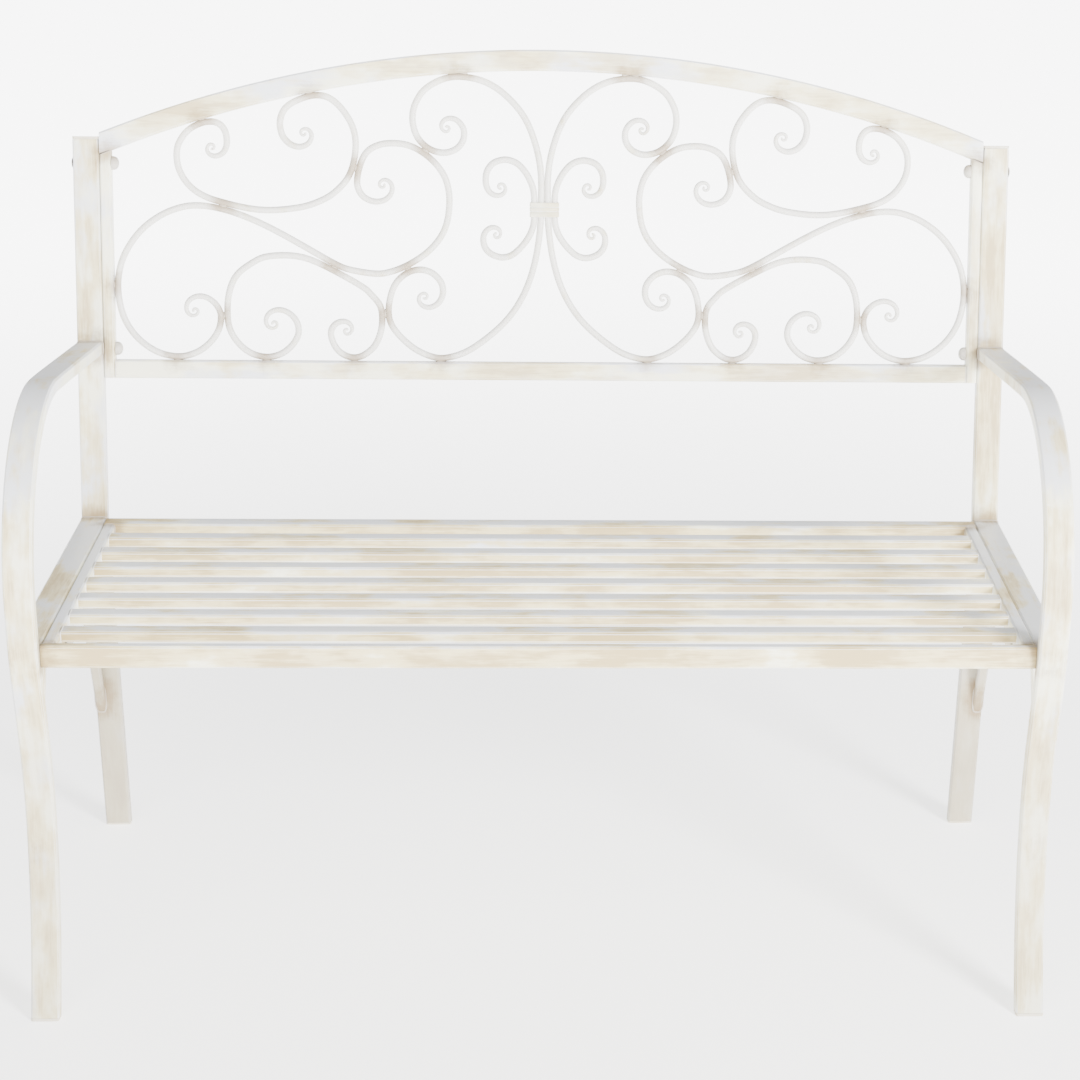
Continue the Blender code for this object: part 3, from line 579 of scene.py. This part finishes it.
class BENCH_OT_back_panel(bpy.types.Operator):
    """Rounds and smooths the back panel's rails and uprights"""
    bl_idname = "bench.back_panel"
    bl_label = "Back panel"

    def execute(self, context):
        across = antique_paint("panel paint", "X", 0.8, 7.0)
        upright = antique_paint("upright paint", "YZ", 0.8, 9.0)
        for node in ("arch_rail", "bottom_rail", *on_both_sides("upright")):
            piece = tube_piece(node, node == "arch_rail")
            piece.data.materials.append(upright if "upright" in node else across)
            keep(piece, "cream_paint", node)
        return {"FINISHED"}


class BENCH_OT_scrolls(bpy.types.Operator):
    """Turns the scrolls' faceted bars into smooth round rods"""
    bl_idname = "bench.scrolls"
    bl_label = "Scrolls"

    def execute(self, context):
        sizes = context.scene.bench_sizes
        paint = antique_paint("rod paint", None, 1.0, 11.0, 0.40)
        for node in on_both_sides(*SCROLLS):
            piece = copy_of(node, node + "_painted")
            bpy.ops.object.mode_set(mode="EDIT")
            bpy.ops.mesh.select_all(action="SELECT")
            bpy.ops.mesh.tris_convert_to_quads(face_threshold=math.radians(12),
                                               shape_threshold=math.radians(60))
            bpy.ops.object.mode_set(mode="OBJECT")
            smooth(piece, sizes.rod_fineness, 3)
            choose(piece)
            bpy.ops.object.shade_smooth()
            piece.data.materials.append(paint)
            keep(piece, "cream_paint", node)
        return {"FINISHED"}


class BENCH_OT_collar(bpy.types.Operator):
    """Shapes the grooved band round the rods in the middle"""
    bl_idname = "bench.collar"
    bl_label = "Collar"

    def execute(self, context):
        piece = copy_of("collar", "collar_painted")
        bpy.ops.object.mode_set(mode="EDIT")
        bpy.ops.mesh.select_all(action="SELECT")
        bpy.ops.mesh.dissolve_limited(angle_limit=math.radians(0.5))
        low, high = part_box("collar")
        middle = (low + high) / 2
        half = context.scene.bench_sizes.collar_height / 2
        for share in COLLAR_RINGS:
            bpy.ops.mesh.select_all(action="SELECT")
            bpy.ops.mesh.bisect(plane_co=middle + UP_THE_BACK * half * share,
                                plane_no=UP_THE_BACK)
        bpy.ops.object.mode_set(mode="OBJECT")
        round_edges(piece, 0.0004, 2, 60)
        moves = []
        for vertex in piece.data.vertices:
            out = vertex.co - middle
            height = out.dot(UP_THE_BACK) / half
            out -= UP_THE_BACK * out.dot(UP_THE_BACK)
            if vertex.normal.dot(out) > 0.0:
                groove = min(abs(height - place) for place in COLLAR_GROOVES)
                moves.append((vertex, vertex.normal * -COLLAR_GROOVE_DEPTH * max(0.0, 1.0 - groove / 0.1)))
        for vertex, move in moves:
            vertex.co += move
        shade(piece)
        piece.data.materials.append(antique_paint("collar paint", None, 0.7, 13.0, 0.2))
        keep(piece, "cream_paint", "collar")
        return {"FINISHED"}


class BENCH_OT_plugs(bpy.types.Operator):
    """Rounds the plastic plugs in the tube ends"""
    bl_idname = "bench.plugs"
    bl_label = "Plugs"

    def execute(self, context):
        plastic = moulded_plastic("plug plastic")
        for node in on_both_sides("front_foot_plug", "rear_foot_plug", "post_cap"):
            piece = copy_of(node, node + "_moulded")
            bpy.ops.object.mode_set(mode="EDIT")
            bpy.ops.mesh.select_all(action="SELECT")
            bpy.ops.mesh.dissolve_limited(angle_limit=math.radians(0.5))
            bpy.ops.object.mode_set(mode="OBJECT")
            round_edges(piece, 0.0008)
            shade(piece)
            piece.data.materials.append(plastic)
            keep(piece, "plug_plastic", node)
        return {"FINISHED"}


class BENCH_OT_fasteners(bpy.types.Operator):
    """Rounds the bolts and the domed cap nuts"""
    bl_idname = "bench.fasteners"
    bl_label = "Fasteners"

    def execute(self, context):
        paint = antique_paint("bolt paint", None, 1.0, 15.0, 0.72)
        places = ("back_upper", "back_lower", "seat_front", "seat_rear")
        for node in on_both_sides(*["bolt_" + place for place in places],
                                  *["cap_nut_" + place for place in places]):
            piece = copy_of(node, node + "_painted")
            bpy.ops.object.mode_set(mode="EDIT")
            bpy.ops.mesh.select_all(action="SELECT")
            bpy.ops.mesh.dissolve_limited(angle_limit=math.radians(0.5))
            bpy.ops.mesh.select_mode(type="EDGE")
            bpy.ops.mesh.select_all(action="DESELECT")
            bpy.ops.mesh.edges_select_sharp(sharpness=math.radians(50))
            bpy.ops.transform.edge_crease(value=0.85)
            bpy.ops.object.mode_set(mode="OBJECT")
            smooth(piece, 2, 4)
            shade(piece, 50)
            piece.data.materials.append(paint)
            keep(piece, "bolt_paint", node)
        return {"FINISHED"}


class BENCH_OT_welds(bpy.types.Operator):
    """Lays weld beads where the tubes and the scrolls meet"""
    bl_idname = "bench.welds"
    bl_label = "Welds"

    def execute(self, context):
        sizes = context.scene.bench_sizes
        paint = antique_paint("weld paint", None, 1.2, 17.0)
        for side in SIDES:
            beads = [("front_leg_and_arm_", BACKWARDS, sizes.weld_radius),
                     ("side_rail_", Vector((0, 1, 0)), sizes.weld_radius),
                     ("side_rail_", Vector((0, -1, 0)), sizes.weld_radius),
                     ("arch_brace_", Vector((0, 1, 0)), sizes.weld_radius * 1.3),
                     ("arch_brace_", Vector((0, -1, 0)), sizes.weld_radius * 1.3),
                     ("upright_", UP_THE_BACK, sizes.seam_radius),
                     ("seat_side_rail_", Vector((0, 1, 0)), sizes.seam_radius),
                     ("seat_side_rail_", Vector((0, -1, 0)), sizes.seam_radius)]
            made = []
            for index, (node, outwards, radius) in enumerate(beads):
                outline, _ = end_outline(node + side, outwards)
                made.append(bead_round("bead_%s_%d" % (side, index), outline, radius, radius * 0.5))
            self.hand_over(joined("frame_welds_" + side, made), paint)
            out = Vector((-1.0 if side == "left" else 1.0, 0.0, 0.0))
            made = []
            for index, node in enumerate((*SLATS, "bottom_rail")):
                radius = sizes.seam_radius if node == "bottom_rail" else sizes.weld_radius * 0.6
                outline, _ = end_outline(node, out)
                made.append(bead_round("end_%s_%d" % (side, index), outline, radius, radius * 0.6))
            self.hand_over(joined("slat_welds_" + side, made), paint)
            self.hand_over(self.scroll_tacks(side), paint)
        return {"FINISHED"}

    def hand_over(self, piece, paint):
        piece.data.materials.clear()
        piece.data.materials.append(paint)
        keep(piece, "cream_paint")

    def scroll_tacks(self, side):
        """Small welds between the scrolls and to the frame round them."""
        rods = [bpy.data.objects[name + "_" + side + "_painted"] for name in SCROLLS]
        around = [frame["nodes"][name] for name in ("arch_rail", "bottom_rail", "upright_" + side)]
        trees = [surface_of(item) for item in rods + around]
        tacks = []
        for index, rod in enumerate(rods):
            for other in range(index + 1, len(trees)):
                for place, across in touching_spots(rod, trees[other]):
                    if abs(place.x) > 0.018:
                        tacks.append(self.tack(place, across, len(tacks)))
        return joined("scroll_welds_" + side, tacks)

    def tack(self, place, across, seed):
        bpy.ops.mesh.primitive_uv_sphere_add(segments=16, ring_count=10, radius=0.001,
                                             location=(0.0, 0.0, 0.0))
        bead = bpy.context.active_object
        bead.name = "tack_%d" % seed
        normal = BACKWARDS
        across = (across - normal * across.dot(normal)).normalized()
        along = normal.cross(across)
        turn = Matrix((along, across, normal)).transposed().to_4x4()
        spread = random.Random(seed).uniform(0.85, 1.15)
        stretch = Matrix.Diagonal((4.6 * spread, 1.9, 2.7 * spread, 1.0))
        bead.data.transform(Matrix.Translation(place) @ turn @ stretch)
        roughen(bead, 0.0007, 0.002)
        choose(bead)
        bpy.ops.object.shade_smooth()
        return bead


class BENCH_OT_paint_and_light_marks(bpy.types.Operator):
    """Marks joints, rounded edges, narrow gaps and the faces that look forwards and up on each piece, for
    the paint and for its painted highlight, shade and warm light
    """
    bl_idname = "bench.wear_marks"
    # These marks hold paint wear and also painted highlight, shade and warm light.
    bl_label = "Wear marks"

    def execute(self, context):
        reach = context.scene.bench_sizes.joint_reach
        pieces = [item for item in context.scene.objects
                  if item.name.endswith(("_painted", "_moulded")) or "_welds_" in item.name]
        welds = np.concatenate([points_of(item.data)[::7] for item in pieces
                                if "_welds_" in item.name and "slat" not in item.name])
        slats = np.concatenate([points_of(item.data)[::7] for item in pieces
                                if "slat_welds_" in item.name])
        solid = [item for item in pieces if "_welds_" not in item.name]
        trees = {item.name: surface_of(item) for item in solid}
        boxes = {item.name: (points_of(item.data).min(0), points_of(item.data).max(0))
                 for item in solid}
        for piece in pieces:
            places = points_of(piece.data)
            near = np.maximum(self.nearness(places, welds, reach),
                              self.nearness(places, slats, reach / 3) * 0.6)
            self.mark(piece, "joint", "POINT", near)
            edge = self.edges(piece)
            self.mark(piece, "edge", "POINT", edge)
            self.mark(piece, "groove", "POINT", self.gaps(piece, places, edge, trees, boxes))
            normals = np.array([tuple(face.normal) for face in piece.data.polygons])
            # Faces that look forwards, for the painted warm light on them.
            self.mark(piece, "front", "FACE", np.clip((-normals[:, 1] - 0.5) / 0.4, 0.0, 1.0))
            # Faces that look up, for the painted cool shade on them.
            self.mark(piece, "top", "FACE", np.clip((normals[:, 2] - 0.5) / 0.4, 0.0, 1.0))
        return {"FINISHED"}

    @staticmethod
    def mark(piece, name, domain, values):
        piece.data.attributes.new(name, "FLOAT", domain).data.foreach_set("value", values)

    @staticmethod
    def gaps(piece, places, edge, trees, boxes):
        """1 on the edge points that face a piece of another bolted group across a narrow gap; the paint
        puts painted shade there.
        """
        groove = np.zeros(len(places))
        if piece.name not in trees:
            return groove
        low, high = boxes[piece.name]
        low = low - 2 * GAP_REACH
        high = high + 2 * GAP_REACH
        others = [trees[name] for name, (start, end) in boxes.items()
                  if group_of(name) != group_of(piece.name) and np.all(start < high) and np.all(end > low)]
        for index in np.flatnonzero(edge > 0.5):
            spot = Vector(places[index])
            if any(tree.find_nearest(spot, GAP_REACH)[0] is not None for tree in others):
                groove[index] = 1.0
        return groove

    @staticmethod
    def nearness(places, spots, reach):
        """1 at a spot, falling to 0 at the reach."""
        inside = np.all((spots > places.min(0) - reach) & (spots < places.max(0) + reach), axis=1)
        spots = spots[inside]
        near = np.zeros(len(places))
        if len(spots) == 0:
            return near
        for start in range(0, len(places), 2000):
            part = places[start:start + 2000]
            gaps = np.linalg.norm(part[:, None] - spots[None], axis=2).min(1)
            near[start:start + 2000] = np.clip(1.0 - gaps / reach, 0.0, 1.0)
        return near

    @staticmethod
    def edges(piece):
        """1 on the points inside a rounded edge, where all faces are narrow and the surface turns."""
        mesh = piece.data
        widest = np.zeros(len(mesh.vertices))
        turn = np.zeros((len(mesh.vertices), 3))
        faces = np.zeros(len(mesh.vertices))
        for face in mesh.polygons:
            corners = [mesh.vertices[index].co for index in face.vertices]
            sides = [(end - start).length for start, end in zip(corners, corners[1:] + corners[:1])]
            width = face.area / max(sides)
            for index in face.vertices:
                widest[index] = max(widest[index], width)
                turn[index] += face.normal
                faces[index] += 1
        flatness = np.linalg.norm(turn, axis=1) / np.maximum(faces, 1)
        return ((widest < 0.0016) & (flatness < 0.9985)).astype(float)


class BENCH_OT_stage(bpy.types.Operator):
    """Lays the floor and sets the lights and the camera"""
    bl_idname = "bench.stage"
    bl_label = "Stage"

    def execute(self, context):
        bpy.ops.object.select_all(action="DESELECT")
        bpy.ops.mesh.primitive_plane_add(size=FLOOR_SIZE, location=(0.0, 0.0, 0.0))
        floor = context.active_object
        floor.name = "floor"
        floor.data.materials.append(floor_paint("floor paint"))
        for lamp in LIGHTS:
            self.light(*lamp)
        world = bpy.data.worlds.new("studio")
        world.use_nodes = True
        context.scene.world = world
        sky = world.node_tree.nodes["Background"]
        sky.inputs["Color"].default_value = (1.0, 1.0, 1.0, 1.0)
        sky.inputs["Strength"].default_value = SKY_STRENGTH
        self.camera(context)
        return {"FINISHED"}

    def light(self, name, place, size, power):
        data = bpy.data.lights.new(name, "AREA")
        data.shape = "DISK"
        data.size = size
        data.energy = power
        lamp = bpy.data.objects.new(name, data)
        lamp.location = place
        aim = LIGHT_AIM - lamp.location
        lamp.rotation_euler = aim.to_track_quat("-Z", "Y").to_euler()
        bpy.context.scene.collection.objects.link(lamp)

    def camera(self, context):
        data = bpy.data.cameras.new("camera")
        data.lens = CAMERA_LENS
        data.sensor_width = 36.0
        data.shift_x = CAMERA_SHIFT
        camera = bpy.data.objects.new("camera", data)
        camera.location = CAMERA_PLACE
        turn = (Matrix.Rotation(CAMERA_PAN, 3, "Z")
                @ Matrix.Rotation(CAMERA_TILT, 3, "X")
                @ Matrix.Rotation(CAMERA_ROLL, 3, "Y")
                @ Matrix.Rotation(math.radians(90.0), 3, "X"))
        camera.rotation_euler = turn.to_euler()
        context.scene.collection.objects.link(camera)
        context.scene.camera = camera


class BENCH_PT_panel(bpy.types.Panel):
    """Sizes, colours and steps of the bench"""
    bl_idname = "BENCH_PT_panel"
    bl_label = "Garden Bench"
    bl_space_type = "VIEW_3D"
    bl_region_type = "UI"
    bl_category = "Bench"

    def draw(self, context):
        for group in (context.scene.bench_sizes, context.scene.bench_colours):
            box = self.layout.box()
            for name in group.__annotations__:
                box.prop(group, name)
        for step in STEPS:
            self.layout.operator(step.bl_idname)


STEPS = (BENCH_OT_side_frames, BENCH_OT_seat, BENCH_OT_back_panel, BENCH_OT_scrolls,
         BENCH_OT_collar, BENCH_OT_plugs, BENCH_OT_fasteners, BENCH_OT_welds,
         BENCH_OT_paint_and_light_marks, BENCH_OT_stage)
CLASSES = (BenchSizes, BenchColours, *STEPS, BENCH_PT_panel)


def register():
    for item in CLASSES:
        bpy.utils.register_class(item)
    bpy.types.Scene.bench_sizes = PointerProperty(type=BenchSizes)
    bpy.types.Scene.bench_colours = PointerProperty(type=BenchColours)


def unregister():
    del bpy.types.Scene.bench_colours
    del bpy.types.Scene.bench_sizes
    for item in reversed(CLASSES):
        bpy.utils.unregister_class(item)


def main():
    register()
    bpy.ops.bench.side_frames()
    bpy.ops.bench.seat()
    bpy.ops.bench.back_panel()
    bpy.ops.bench.scrolls()
    bpy.ops.bench.collar()
    bpy.ops.bench.plugs()
    bpy.ops.bench.fasteners()
    bpy.ops.bench.welds()
    bpy.ops.bench.wear_marks()
    bpy.ops.bench.stage()


if __name__ == "__main__":
    main()
